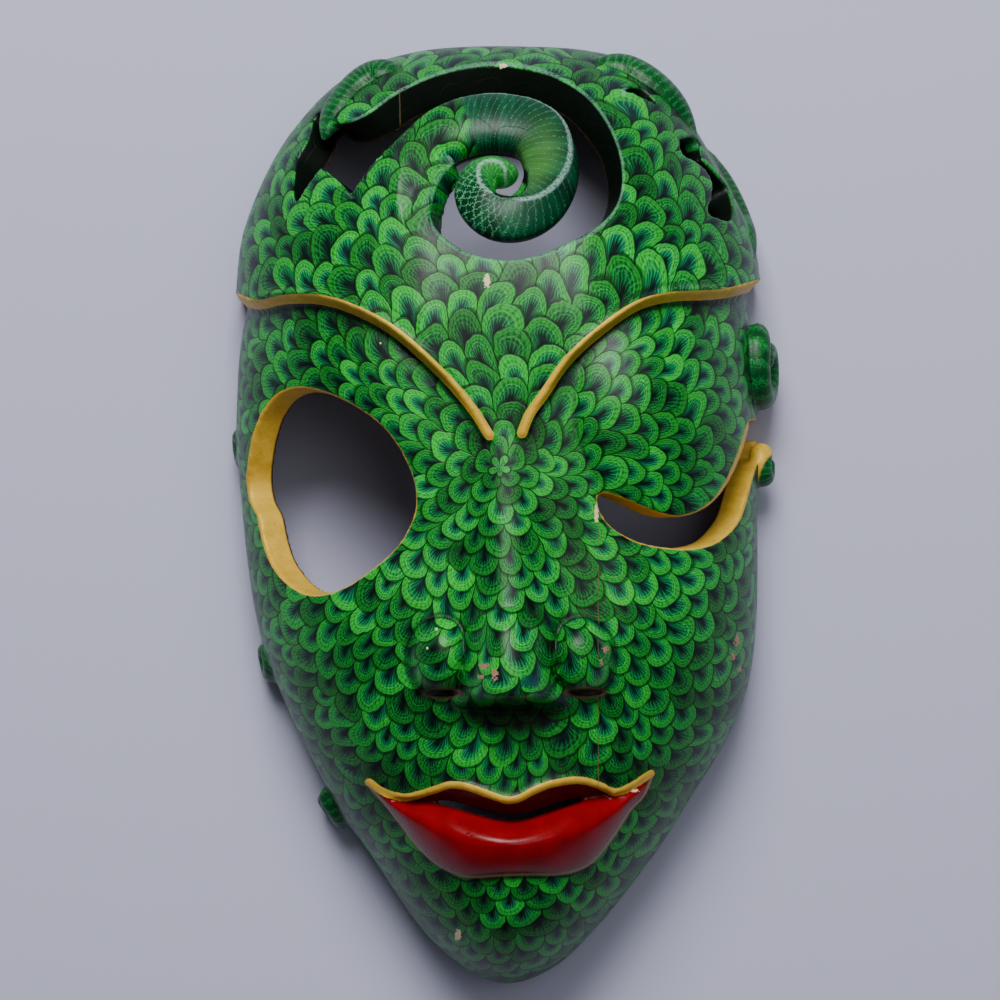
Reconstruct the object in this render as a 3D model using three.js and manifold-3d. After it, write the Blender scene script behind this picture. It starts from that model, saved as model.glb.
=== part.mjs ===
// A carved wooden face mask, lying on its rim with the face up.
//
// The mask is one piece of wood: a hollow dome with a narrow chin and a wide crown, a hooded
// forehead, one large open eye, one crescent eye under a full lid, a parted mouth, and a crown
// pierced round a curled volute. Millimetres, +Z up out of the face, +Y towards the crown, the
// origin on the surface that the rim lies on, under the middle of the mask.
//
// Lines on the face are laid out on the plane of the dome's widest section, and carried from
// there to the carved surface towards a point straight above the origin.

import * as THREE from 'three';
import { mergeVertices } from 'three/addons/utils/BufferGeometryUtils.js';
import Module from 'manifold-3d';

// Driving dimensions of the dome.
const DOME_DEPTH = 73;
const WALL = 8;
const CROWN_WALL = 10.5;
const RIM_ANGLE = THREE.MathUtils.degToRad(99);
const DOME_TOP_Y = -10;
const LAYOUT_HEIGHT = 850;
const HALF_WIDTH = 79;
const HALF_LENGTH = 140;

// The grid that the dome is cut on.
const SPOKES = 56;
const OUTER_RINGS = 18;
const INNER_RINGS = 6;

// The relief of the face.
const FOREHEAD_RISE = 7;
const HOOD_STEP = 4.2;
const LID_RISE = 8;
const CHEEK_RISE = 3;
const CHIN_RISE = 7;
const BEAD_RADIUS = 1.3;
const NOTCH = { y: 25.5, height: 5.4, depth: 4.6 };

// The outline from the crown to the chin: the left side, then the right side.
const LEFT_SIDE = [
  [0, 140], [-39, 134], [-62.5, 115.5], [-77.5, 86], [-80.8, 61], [-79, 12], [-72, -38], [-52, -83],
  [-25, -123], [1.5, -140.4],
];
const RIGHT_SIDE = [
  [0, 140], [41, 133.5], [60.5, 109], [75, 78], [74.6, 52], [76.2, 10], [73.5, -50], [53, -89],
  [29, -122], [1.5, -140.4],
];

// The lower edge of the forehead's hood over each eye, from the side towards the nose.
const LEFT_BROW = [
  [-80.4, 65], [-73.5, 63], [-65.4, 64.5], [-54.9, 64.5], [-44.4, 61.5], [-32.4, 54.9],
  [-18.9, 42.9], [-9.9, 32.7], [-3.6, 23],
];
const RIGHT_BROW = [
  [75.6, 68.7], [65, 66], [50, 65.4], [39.3, 62.4], [28.2, 54.6], [18.9, 45.9], [12.6, 36.9],
  [8.1, 30.6], [5.4, 23.7],
];

// The upper edge of the mouth, corner to corner, and the seams of its two lips.
const MOUTH_EDGE = [
  [-40.5, -80.7], [-35.4, -83.4], [-29.4, -84.7], [-15.9, -81], [0.9, -85.4], [15.6, -80.4],
  [23.1, -79.6], [33.6, -83.2], [38.7, -81.3], [44, -78],
];
const UPPER_LIP = [[-37, -83], [-28, -86.4], [-15, -84.6], [1, -89], [17, -84], [29, -85], [40, -81.6]];
const LOWER_LIP = [[-37, -84], [-27, -93], [-13, -99], [2, -100.5], [17, -99], [29, -93], [40.5, -84]];
const MOUTH_SLIT = [
  [-25, -85], [-13, -86], [-4, -88.8], [2, -89.6], [8, -88.8], [14, -86.8], [28, -84.4],
  [17, -88.8], [8, -92.4], [1, -93.4], [-6, -92.4], [-15, -89],
];

// Openings, as closed outlines.
const OPEN_EYE = [
  [-61.5, 38.1], [-53.4, 36.6], [-45.9, 33], [-35.4, 25.8], [-30, 17.7], [-26.4, 5.1],
  [-27.6, -1.8], [-36.9, -13.8], [-50.4, -22.8], [-60.9, -23.1], [-69.3, -15.3], [-73.5, -1.8],
  [-76.5, 10.2], [-74.7, 23.7], [-67.5, 36],
];
const CRESCENT_EYE = [
  [28.5, 5.4], [29.6, 0.4], [33.6, -4.2], [41, -8.1], [50.1, -9.9], [57.6, -9.9], [64.5, -7.8],
  [70.5, -1.8], [73.4, 6.6], [75.4, 13.8], [80, 20], [80, 27.8], [73, 24.6], [70.5, 17.7],
  [67.5, 10.8], [63.6, 4.8], [59, 1.2], [53.1, -0.6], [47, 0.3], [41, 2.7], [35.1, 5.4],
];
const CROWN_RING = [
  [-53.4, 117.6], [-44, 117.6], [-35.4, 123.3], [-24.9, 129.6], [-12.9, 133.8], [-0.9, 135],
  [11.1, 133.2], [23.1, 127.2], [31.2, 117.6], [35.1, 106.2], [34.2, 94.2], [29.1, 86.7],
  [17.1, 80.1], [5.1, 77.1], [-6.9, 78], [-17.4, 82.2], [-21.5, 87.5], [-24, 95], [-30, 99],
  [-38, 99], [-45.3, 95.7], [-54.9, 103.8], [-61.8, 91.5], [-62.1, 98.7], [-60.9, 107.7],
  [-57, 115.5],
];
const SIDE_SLOT = [
  [52.5, 112.2], [57.6, 112.2], [60, 106], [66.5, 98.5], [67.2, 92], [64.5, 89], [60.9, 89.4],
  [62.4, 98], [56.4, 107],
];
const SIDE_EYELET = [[36.6, 125.7], [41, 127.2], [46.2, 123.6], [45, 121.6], [40, 123]];

const wasm = await Module();
wasm.setup();

const { clamp, lerp, smoothstep } = THREE.MathUtils;

const curveThrough = (points, closed = false) =>
  new THREE.CatmullRomCurve3(points.map(([x, y]) => new THREE.Vector3(x, y, 0)), closed);

// Distance from the dome's top to the outline, by direction.
const outlineRadius = (() => {
  const STEPS = 360;
  const around = curveThrough([...LEFT_SIDE, ...RIGHT_SIDE.slice(1, -1).reverse()], true);
  const path = around.getPoints(6 * STEPS).map((p) => ({
    angle: Math.atan2(p.y - DOME_TOP_Y, p.x),
    radius: Math.hypot(p.x, p.y - DOME_TOP_Y),
  }));
  path.sort((a, b) => a.angle - b.angle);
  const table = Array.from({ length: STEPS + 1 }, (_, i) => {
    const angle = -Math.PI + 2 * Math.PI * i / STEPS;
    return (path.find((p) => p.angle >= angle) ?? path[0]).radius;
  });
  return (x, y) => {
    const place = (Math.atan2(y, x) + Math.PI) / (2 * Math.PI) * STEPS;
    const k = Math.min(STEPS - 1, Math.floor(place));
    return lerp(table[k], table[k + 1], place - k);
  };
})();

// How full the dome's section is: fuller towards the chin and the crown than at the sides.
function fullness(x, y) {
  const up = y / (Math.hypot(x, y) + 1e-9);
  return up > 0 ? lerp(2.1, 2.35, up) : lerp(2.1, 2.6, -up);
}

const wallAt = (y) => lerp(WALL, CROWN_WALL, smoothstep(y, 55, 95));
const bump = (x, y, cx, cy, rx, ry) => Math.exp(-(((x - cx) / rx) ** 2) - ((y - cy) / ry) ** 2);
const RIM_DROP = Math.cos(RIM_ANGLE);
const WIDEST_HEIGHT = DOME_DEPTH * -RIM_DROP / (1 - RIM_DROP);

// The broad forms, at a place on the layout plane.
function broadRelief(x, y) {
  return FOREHEAD_RISE * bump(x, y, 0, 80, 62, 46)
    + LID_RISE * bump(x, y, 56, 24, 24, 23)
    + CHEEK_RISE * (bump(x, y, 46, -34, 22, 24) + bump(x, y, -46, -36, 22, 22))
    + CHIN_RISE * bump(x, y, 1, -124, 24, 17);
}

// How far the hood stands over the brow: nothing between the eyes, and fading up the forehead.
function hoodRelief(x, y) {
  const outward = smoothstep(Math.abs(x), 4, 26);
  return lerp(-1, HOOD_STEP, outward * Math.exp(-Math.max(y - 60, 0) / 40));
}

// A point of the dome, from its direction round the dome's top and its tilt out to the rim.
function domePoint(dx, dy, tilt, { hollow = false, hood = false } = {}) {
  const wall = hollow ? wallAt(DOME_TOP_Y + 100 * dy * Math.sin(tilt)) * (hood ? 0.5 : 1) : 0;
  const radius = (outlineRadius(dx, dy) - wall) * Math.sin(tilt) ** (2 / fullness(dx, dy));
  const x = radius * dx;
  const y = DOME_TOP_Y + radius * dy;
  const z = (DOME_DEPTH - wall) * (Math.cos(tilt) - RIM_DROP) / (1 - RIM_DROP);
  const laid = (LAYOUT_HEIGHT - WIDEST_HEIGHT) / (LAYOUT_HEIGHT - z);
  const fade = 1 - smoothstep(tilt, 1.12, 1.5);
  const step = hood && !hollow ? hoodRelief(laid * x, laid * y) : 0;
  const relief = broadRelief(laid * x, laid * y) + step;
  return new THREE.Vector3(x, y, z + fade * relief);
}

// The direction and the tilt at which the dome passes through x, y.
function domePlace(x, y) {
  const away = Math.hypot(x, y - DOME_TOP_Y) + 1e-9;
  const dx = x / away;
  const dy = (y - DOME_TOP_Y) / away;
  const reach = clamp(away / outlineRadius(dx, dy), 0, 0.9995);
  return { dx, dy, tilt: Math.asin(reach ** (fullness(dx, dy) / 2)) };
}

// The point of the outer surface under a place on the layout plane.
function onFace(layoutX, layoutY, options) {
  let point = new THREE.Vector3(layoutX, layoutY, DOME_DEPTH / 2);
  for (let pass = 0; pass < 6; pass += 1) {
    const shrink = (LAYOUT_HEIGHT - point.z) / (LAYOUT_HEIGHT - WIDEST_HEIGHT);
    const { dx, dy, tilt } = domePlace(layoutX * shrink, layoutY * shrink);
    point = domePoint(dx, dy, tilt, options);
  }
  return point;
}

// The outward direction of the plain dome at a place on the layout plane.
function faceNormal(layoutX, layoutY) {
  const { x, y } = onFace(layoutX, layoutY);
  const { tilt } = domePlace(x, y);
  const outward = new THREE.Vector3(x / HALF_WIDTH ** 2, (y - DOME_TOP_Y) / HALF_LENGTH ** 2, 0);
  outward.normalize().multiplyScalar(Math.sin(tilt));
  return outward.setZ(Math.cos(tilt)).normalize();
}

// A three.js geometry as a manifold-3d solid, with its faces turned outwards.
function solid(geometry) {
  const bare = geometry.clone();
  bare.deleteAttribute('normal');
  bare.deleteAttribute('uv');
  const merged = mergeVertices(bare, 1e-4);
  const corner = [0, 1, 2].map(() => new THREE.Vector3());
  const triangles = [];
  let volume = 0;
  for (let i = 0; i < merged.index.count; i += 3) {
    const triangle = [0, 1, 2].map((k) => merged.index.getX(i + k));
    if (new Set(triangle).size < 3) continue;
    triangles.push(triangle);
    triangle.forEach((v, k) => corner[k].fromBufferAttribute(merged.attributes.position, v));
    volume += corner[0].dot(corner[1].clone().cross(corner[2]));
  }
  if (volume < 0) triangles.forEach((triangle) => triangle.reverse());
  return new wasm.Manifold(new wasm.Mesh({
    numProp: 3,
    vertProperties: new Float32Array(merged.attributes.position.array),
    triVerts: new Uint32Array(triangles.flat()),
  }));
}

// Moves every vertex of a geometry with a function of its place and index.
function reshape(geometry, move) {
  const position = geometry.attributes.position;
  for (let i = 0; i < position.count; i += 1) {
    const p = move(new THREE.Vector3().fromBufferAttribute(position, i), i);
    position.setXYZ(i, p.x, p.y, p.z);
  }
  return geometry;
}

// The hollow dome: a lathe blank whose stations run over the face, across the rim and back
// over the hollow side, with every vertex then moved to its place on the mask.
function domeBlank(hood) {
  const stations = [];
  for (let i = 0; i <= OUTER_RINGS; i += 1) {
    stations.push({ tilt: RIM_ANGLE * i / OUTER_RINGS, hollow: false, hood });
  }
  for (let i = INNER_RINGS; i >= 0; i -= 1) {
    stations.push({ tilt: RIM_ANGLE * i / INNER_RINGS, hollow: true, hood });
  }
  const profile = stations.map(({ tilt, hollow }) => {
    const radius = hollow ? 0.9 : 1;
    return new THREE.Vector2(radius * Math.max(0, Math.sin(tilt)), -radius * Math.cos(tilt));
  });
  const blank = new THREE.LatheGeometry(profile, SPOKES);
  return solid(reshape(blank, (p, i) => {
    const station = stations[i % stations.length];
    const spoke = 2 * Math.PI * (Math.floor(i / stations.length) % SPOKES) / SPOKES;
    const across = HALF_WIDTH * Math.cos(spoke);
    const along = HALF_LENGTH * Math.sin(spoke);
    const length = Math.hypot(across, along);
    return domePoint(across / length, along / length, station.tilt, station);
  }));
}

// The space inside the dome, which the carved features of the face must not reach into.
function hollowCore() {
  const tilts = Array.from({ length: INNER_RINGS + 1 }, (_, i) => RIM_ANGLE * i / INNER_RINGS);
  const profile = tilts.map((t) => new THREE.Vector2(Math.max(0, Math.sin(t)), -Math.cos(t)));
  profile.push(new THREE.Vector2(Math.sin(RIM_ANGLE), 1), new THREE.Vector2(0, 1));
  const core = new THREE.LatheGeometry(profile, SPOKES);
  return solid(reshape(core, (p, i) => {
    const station = i % profile.length;
    const spoke = 2 * Math.PI * (Math.floor(i / profile.length) % SPOKES) / SPOKES;
    const across = HALF_WIDTH * Math.cos(spoke);
    const along = HALF_LENGTH * Math.sin(spoke);
    const length = Math.hypot(across, along);
    const tilt = tilts[Math.min(station, INNER_RINGS)];
    const point = domePoint(across / length, along / length, tilt, { hollow: true });
    if (station === profile.length - 1) point.set(0, DOME_TOP_Y, 0);
    return station > INNER_RINGS ? point.setZ(-5) : point;
  }));
}

// A plug through the wall, for a closed outline on the layout plane. It goes through square to
// the dome, or along a direction of its own.
function plug(points, { out = 26, inward = 2.2, along = null } = {}) {
  const outline = new THREE.Shape(points.map(([x, y]) => new THREE.Vector2(x, y)));
  const block = new THREE.ExtrudeGeometry(outline, { depth: 1, steps: 1, bevelEnabled: false });
  return solid(reshape(block, (p) => {
    const reach = p.z > 0.5 ? out : -inward * wallAt(p.y);
    return onFace(p.x, p.y).addScaledVector(along ?? faceNormal(p.x, p.y), reach);
  }));
}

const smoothOutline = (points, samples) =>
  curveThrough(points, true).getSpacedPoints(samples).slice(0, -1).map((p) => [p.x, p.y]);

// The forehead's hood: a second dome standing a step higher, kept only above the brow line.
function foreheadHood() {
  const far = 100;
  const edge = [
    [-far, 64], ...curveThrough(LEFT_BROW).getSpacedPoints(18).map((p) => [p.x, p.y]),
    ...curveThrough(RIGHT_BROW).getSpacedPoints(18).reverse().map((p) => [p.x, p.y]),
    [far, 70],
  ];
  const region = new THREE.Shape([...edge, [far, 150], [-far, 150]]
    .map(([x, y]) => new THREE.Vector2(x, y)));
  const block = new THREE.ExtrudeGeometry(region, { depth: 1, steps: 1, bevelEnabled: false });
  return domeBlank(true).intersect(solid(reshape(block, (p) => {
    const height = p.z > 0.5 ? 160 : 4;
    const shrink = (LAYOUT_HEIGHT - height) / (LAYOUT_HEIGHT - WIDEST_HEIGHT);
    return new THREE.Vector3(p.x * shrink, p.y * shrink, height);
  })));
}

// A horn: a sphere drawn out along a path, with rounded ends. size gives its width and height
// along the way, and up its outward direction.
function horn({ path, size, up, around = 10, steps = 24, round = 0.06 }) {
  const ball = new THREE.SphereGeometry(1, around, steps);
  const across = around + 1;
  return solid(reshape(ball, (p, i) => {
    const t = Math.floor(i / across) / steps;
    const turn = 2 * Math.PI * ((i % across) % around) / around;
    const ahead = path(Math.min(1, t + 0.004)).sub(path(Math.max(0, t - 0.004))).normalize();
    const lift = up(t).clone();
    lift.addScaledVector(ahead, -lift.dot(ahead)).normalize();
    const side = new THREE.Vector3().crossVectors(ahead, lift);
    const end = Math.min(1, t / round, (1 - t) / round);
    const swell = Math.sqrt(Math.max(0, 1 - (1 - end) ** 2));
    const { width, height } = size(t);
    return path(t)
      .addScaledVector(side, swell * Math.cos(turn) * width / 2)
      .addScaledVector(lift, swell * Math.sin(turn) * height / 2);
  }));
}

// Values given at even steps, read smoothly in between.
function series(values) {
  const curve = new THREE.SplineCurve(values.map((v, i) => new THREE.Vector2(i, v)));
  return (t) => curve.getPoint(clamp(t, 0, 1)).y;
}

// The direction from a point of the mask to the point that the layout is drawn towards.
const towardsLayout = (p) => new THREE.Vector3(0, 0, LAYOUT_HEIGHT).sub(p).normalize();

// A horn laid on the dome along a line of the layout plane, its middle sunk below the surface.
function surfaceHorn(points, { widths, heights = widths, sink = () => 0, ...shape }) {
  const line = curveThrough(points);
  const width = series(widths);
  const height = series(heights);
  const normal = (t) => faceNormal(line.getPoint(t).x, line.getPoint(t).y);
  return horn({
    path: (t) => {
      const p = onFace(line.getPoint(t).x, line.getPoint(t).y);
      return p.addScaledVector(towardsLayout(p), -sink(t));
    },
    size: (t) => ({ width: width(t), height: height(t) }),
    up: normal,
    ...shape,
  });
}

// The curled volute that rises out of the forehead into the crown's ring.
function crownVolute() {
  const CENTRE = new THREE.Vector2(1.5, 101.5);
  const START = THREE.MathUtils.degToRad(207);
  const SWEEP = THREE.MathUtils.degToRad(425);
  const fromCentre = series([37, 24, 16.6, 14.7, 14.1, 13.1, 12.8, 13, 12.3, 10.6, 6]);
  const line = Array.from({ length: 23 }, (_, i) => {
    const angle = START - SWEEP * i / 22;
    const r = fromCentre(i / 22);
    return [CENTRE.x + r * Math.cos(angle), CENTRE.y + r * Math.sin(angle)];
  });
  const drop = series([8, 8, 7.5, 7, 6.5, 6, 5.5, 4.5, 3.5, 2.5, 2]);
  return surfaceHorn(line, {
    widths: [24, 18.5, 17.2, 18, 18, 16.6, 15.6, 15.2, 10.5, 6.2, 4.8],
    heights: [15, 15, 15, 15, 14.4, 13.6, 13, 12, 10, 8, 6.4],
    sink: drop,
    around: 10,
    steps: 42,
    round: 0.03,
  });
}

// The nose: a ridge that widens to a rounded tip, with a ball at each wing.
function nose() {
  const ridge = surfaceHorn([[0.6, 26], [0.9, 8], [1.5, -12], [2, -32], [2.2, -56]], {
    widths: [9, 15, 22, 29, 33],
    heights: [2, 9, 20, 36, 44],
    steps: 14,
    around: 12,
    round: 0.26,
  });
  const wing = (x) => surfaceHorn([[x, -31], [x * 1.03, -43], [x * 0.96, -54]], {
    widths: [15, 17, 15],
    heights: [14, 24, 20],
    steps: 7,
    around: 8,
    round: 0.5,
  });
  return ridge.add(wing(-18)).add(wing(22));
}

// A small scroll that lies against the side of the dome, curling in to its eye.
function sideScroll({ x, y, z, radius, start, turns, thickness, facing }) {
  const outward = new THREE.Vector3(...facing).normalize();
  const vertical = new THREE.Vector3(0, 1, 0).addScaledVector(outward, -outward.y).normalize();
  const level = new THREE.Vector3().crossVectors(vertical, outward);
  return horn({
    path: (t) => {
      const angle = start + 2 * Math.PI * turns * t;
      const r = radius * lerp(1, 0.2, t ** 0.85);
      return new THREE.Vector3(x, y, z)
        .addScaledVector(vertical, r * Math.sin(angle))
        .addScaledVector(level, r * Math.cos(angle))
        .addScaledVector(outward, 0.8 * t);
    },
    size: (t) => ({ width: thickness * lerp(1, 0.7, t), height: thickness * lerp(1.1, 0.9, t) }),
    up: () => outward,
    steps: 12,
    around: 6,
    round: 0.1,
  });
}

// The scrolls along the edge: the ear and the curl under it, then three down the left side.
function sideScrolls() {
  const right = [1, 0, 0.25];
  const left = [-1, -0.1, 0.2];
  return [
    sideScroll({
      x: 77, y: 43.5, z: 18, radius: 11, start: 2.2, turns: 1.15, thickness: 8.4, facing: right,
    }),
    sideScroll({
      x: 77.6, y: 14, z: 13, radius: 5, start: 1.6, turns: 0.9, thickness: 6.6, facing: right,
    }),
    sideScroll({
      x: -77.8, y: 21, z: 11, radius: 7.5, start: 1, turns: -1, thickness: 6, facing: left,
    }),
    sideScroll({
      x: -70, y: -43, z: 9, radius: 7, start: 1, turns: -1, thickness: 6.4, facing: left,
    }),
    sideScroll({
      x: -51.6, y: -87, z: 9, radius: 7, start: 1, turns: -1, thickness: 6.4, facing: [-1, -0.7, 0.2],
    }),
  ];
}

// Rolled leaves over the crown: two on the right, then the bud on the left.
function crownLeaves() {
  const rolled = { sink: () => 2, steps: 9, around: 8, round: 0.25 };
  return [
    surfaceHorn([[26, 136], [38, 133.5], [49, 126], [55.5, 117.5], [57.5, 112]], {
      widths: [8, 12, 13, 12, 8], ...rolled,
    }),
    surfaceHorn([[60.5, 110], [67, 99], [72, 87], [74.5, 75]], {
      widths: [7, 10, 10, 7], ...rolled,
    }),
    surfaceHorn([[-53, 116], [-48, 124.5], [-39, 130], [-31, 131]], {
      widths: [10, 15, 16, 10], ...rolled,
    }),
  ];
}

// A raised bead along a line of the face: a round section swept along it.
function bead(points, radius, options) {
  const STATIONS = 18;
  const line = curveThrough(points).getSpacedPoints(STATIONS).map((p) =>
    onFace(p.x, p.y, options).addScaledVector(faceNormal(p.x, p.y), -0.3 * radius));
  const section = new THREE.Shape().absarc(0, 0, radius, 0, 2 * Math.PI, false);
  return solid(new THREE.ExtrudeGeometry(section, {
    steps: STATIONS,
    curveSegments: 2,
    extrudePath: new THREE.CatmullRomCurve3(line),
  }));
}

// The notch in the edge beyond the crescent eye.
function edgeNotch() {
  const reach = 20;
  const block = new THREE.BoxGeometry(reach, NOTCH.height, 70);
  block.rotateZ(0.1);
  block.translate(RIGHT_SIDE[5][0] - NOTCH.depth + reach / 2, NOTCH.y, 30);
  return solid(block);
}

// A flat block under the rim, which trims the scrolls level with it.
function tableCutter() {
  const table = new THREE.BoxGeometry(4 * HALF_WIDTH, 4 * HALF_LENGTH, 60);
  table.translate(0, 0, -30);
  return solid(table);
}

function lips() {
  const flesh = { steps: 14, around: 8, round: 0.3 };
  return [
    surfaceHorn(LOWER_LIP, {
      widths: [4, 12, 17, 17, 17, 12, 4], heights: [3, 12, 19, 20, 19, 12, 3], ...flesh,
    }),
    surfaceHorn(UPPER_LIP, { widths: [3, 5, 7, 7, 7, 5, 3], heights: [3, 7, 9, 9, 9, 7, 3], ...flesh }),
  ];
}

const nostril = [[-22.5, -54], [-18.5, -52.8], [-13.5, -54.8], [-18, -55.8]];
const otherNostril = nostril.map(([x, y]) => [4 - x, y]);

let carving = domeBlank(false).add(foreheadHood());
const additions = [nose(), ...lips(), ...sideScrolls(), ...crownLeaves()];
for (const addition of additions) carving = carving.add(addition);
carving = carving.subtract(hollowCore());

const openings = [
  plug(smoothOutline(OPEN_EYE, 36)),
  plug(smoothOutline(CRESCENT_EYE, 44)),
  plug(CROWN_RING),
  plug(SIDE_SLOT),
  plug(SIDE_EYELET),
  plug(MOUTH_SLIT, { along: new THREE.Vector3(0, 0, 1), inward: 3 }),
  plug(nostril, { out: 12, inward: 0.2 }),
  plug(otherNostril, { out: 12, inward: 0.2 }),
  edgeNotch(),
];
for (const opening of openings) carving = carving.subtract(opening);

const hooded = { hood: true };
carving = carving
  .add(crownVolute())
  .add(bead(LEFT_BROW, BEAD_RADIUS, hooded))
  .add(bead(RIGHT_BROW, BEAD_RADIUS, hooded))
  .add(bead(MOUTH_EDGE, BEAD_RADIUS))
  .subtract(tableCutter());

const { vertProperties, triVerts } = carving.getMesh();
const geometry = new THREE.BufferGeometry();
geometry.setAttribute('position', new THREE.BufferAttribute(vertProperties, 3));
geometry.setIndex(new THREE.BufferAttribute(triVerts, 1));
geometry.computeBoundingBox();
const middle = geometry.boundingBox.getCenter(new THREE.Vector3());
geometry.translate(-middle.x, -middle.y, -geometry.boundingBox.min.z);
geometry.computeVertexNormals();

const paintedWood = new THREE.MeshStandardMaterial({
  color: new THREE.Color(0.05, 0.36, 0.11),
  roughness: 0.35,
  metalness: 0,
});
const maskMesh = new THREE.Mesh(geometry, paintedWood);
maskMesh.name = 'carved_mask';

const mask = new THREE.Group();
mask.add(maskMesh);

export default mask;
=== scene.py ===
import math

import bpy
import numpy as np
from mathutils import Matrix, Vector
from mathutils.bvhtree import BVHTree


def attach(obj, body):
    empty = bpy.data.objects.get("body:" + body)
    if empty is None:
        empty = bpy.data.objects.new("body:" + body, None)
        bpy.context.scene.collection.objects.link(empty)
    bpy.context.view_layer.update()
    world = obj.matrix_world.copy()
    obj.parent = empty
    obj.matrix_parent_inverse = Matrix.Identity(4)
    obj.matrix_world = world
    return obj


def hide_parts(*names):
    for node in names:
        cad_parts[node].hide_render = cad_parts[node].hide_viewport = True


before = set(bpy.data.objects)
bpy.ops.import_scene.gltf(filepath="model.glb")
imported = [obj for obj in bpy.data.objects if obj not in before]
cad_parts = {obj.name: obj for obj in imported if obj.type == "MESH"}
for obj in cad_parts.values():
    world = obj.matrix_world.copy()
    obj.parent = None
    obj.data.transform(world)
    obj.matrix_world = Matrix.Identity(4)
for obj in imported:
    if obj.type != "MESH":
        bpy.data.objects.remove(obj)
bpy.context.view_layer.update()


# --- The wooden blank -----------------------------------------------------------------------
# The mask is carved from one billet of light wood, hollowed from behind to a wall of about
# 8 mm. Its lines are set out in millimetres on the plane of its widest section and carried
# onto the wood along lines of sight from a point high over the face.

MM = 0.001
DOME_DEPTH = 73.0
WALL = 8.0
CROWN_WALL = 10.5
RIM_TILT = math.radians(99)
RIM_DROP = math.cos(RIM_TILT)
DOME_TOP_Y = -10.0
HALF_WIDTH = 79.0
HALF_LENGTH = 140.0
SIGHT_HEIGHT = 850.0
WIDEST_HEIGHT = DOME_DEPTH * -RIM_DROP / (1 - RIM_DROP)

LEFT_SIDE = [(0, 140), (-39, 134), (-61.5, 115), (-75.8, 86), (-78.2, 60), (-79.6, 36), (-79, 12),
             (-72, -38), (-52, -83), (-39.6, -101.6), (-25, -123), (-12, -135.2), (1.5, -140.2)]
RIGHT_SIDE = [(0, 140), (41, 133.5), (60, 109), (73.6, 80), (74.4, 56), (76, 10), (73.5, -50),
              (53.4, -89), (41.6, -106.4), (29.2, -122), (16, -134.8), (1.5, -140.2)]

NEARLY_RIM = 0.9995
SMALLEST = 1e-9

FOREHEAD_RISE = 7.0
LID_RISE = 4.0
CHEEK_RISE = 3.0
CHIN_RISE = 7.0


def smoothstep(value, low, high):
    t = np.clip((value - low) / (high - low), 0, 1)
    return t * t * (3 - 2 * t)


def mound(x, y, centre_x, centre_y, reach_x, reach_y):
    return np.exp(-((x - centre_x) / reach_x) ** 2 - ((y - centre_y) / reach_y) ** 2)


def smooth_line(points, per_span=10, closed=False):
    """A smooth line through the given points."""
    p = np.array(points, float)
    p = (np.vstack([p[-1], p, p[:2]]) if closed
         else np.vstack([2 * p[0] - p[1], p, 2 * p[-1] - p[-2]]))
    t = np.linspace(0, 1, per_span, endpoint=False)[:, None]
    spans = [0.5 * (2 * b + (c - a) * t + (2 * a - 5 * b + 4 * c - d) * t ** 2
                    + (3 * b - a - 3 * c + d) * t ** 3)
             for a, b, c, d in zip(p, p[1:], p[2:], p[3:])]
    line = np.vstack(spans)
    return line if closed else np.vstack([line, p[-2]])


def even_line(points, count, closed=False):
    """The same line, cut into steps of equal length."""
    line = smooth_line(points, 24, closed)
    if closed:
        line = np.vstack([line, line[:1]])
    run = np.concatenate([[0], np.cumsum(np.linalg.norm(np.diff(line, axis=0), axis=1))])
    stops = np.linspace(0, run[-1], count, endpoint=not closed)
    return np.stack([np.interp(stops, run, line[:, k]) for k in range(line.shape[1])], axis=1)


OUTLINE = smooth_line(LEFT_SIDE + RIGHT_SIDE[-2:0:-1], 30, closed=True)
outline_angles = np.arctan2(OUTLINE[:, 1] - DOME_TOP_Y, OUTLINE[:, 0])
outline_order = np.argsort(outline_angles)
outline_angles = outline_angles[outline_order]
outline_reach = np.hypot(OUTLINE[:, 0], OUTLINE[:, 1] - DOME_TOP_Y)[outline_order]


def outline_radius(dx, dy):
    return np.interp(np.arctan2(dy, dx), outline_angles, outline_reach, period=2 * math.pi)


def fullness(dx, dy):
    """How square the dome is on the way to the rim: 2 is round."""
    up = dy / (np.hypot(dx, dy) + SMALLEST)
    return np.where(up > 0, 2.1 + 0.25 * up, 2.1 - 0.5 * up)


def wall_at(y):
    return WALL + (CROWN_WALL - WALL) * smoothstep(y, 55, 95)


def broad_relief(x, y):
    """Forehead, lid, cheeks and chin, as heights over the plain dome."""
    return (FOREHEAD_RISE * mound(x, y, 0, 80, 62, 46)
            + LID_RISE * mound(x, y, 56, 24, 24, 23)
            + CHEEK_RISE * (mound(x, y, 46, -34, 22, 24) + mound(x, y, -46, -36, 22, 22))
            + CHIN_RISE * mound(x, y, 1, -124, 24, 17))


def dome_point(dx, dy, tilt, wall=0.0):
    """A point of the dome, from its direction round the top and its tilt out to the rim."""
    radius = (outline_radius(dx, dy) - wall) * np.sin(tilt) ** (2 / fullness(dx, dy))
    x = radius * dx
    y = DOME_TOP_Y + radius * dy
    z = (DOME_DEPTH - wall) * (np.cos(tilt) - RIM_DROP) / (1 - RIM_DROP)
    laid = (SIGHT_HEIGHT - WIDEST_HEIGHT) / (SIGHT_HEIGHT - z)
    fade = 1 - smoothstep(tilt, 1.12, 1.5)
    return np.stack([x, y, z + fade * broad_relief(laid * x, laid * y)], axis=-1)


def dome_place(x, y):
    """The direction and tilt at which the dome passes through x, y."""
    away = np.hypot(x, y - DOME_TOP_Y) + SMALLEST
    dx, dy = x / away, (y - DOME_TOP_Y) / away
    reach = np.clip(away / outline_radius(dx, dy), 0, NEARLY_RIM)
    return dx, dy, np.arcsin(reach ** (fullness(dx, dy) / 2))


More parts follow.
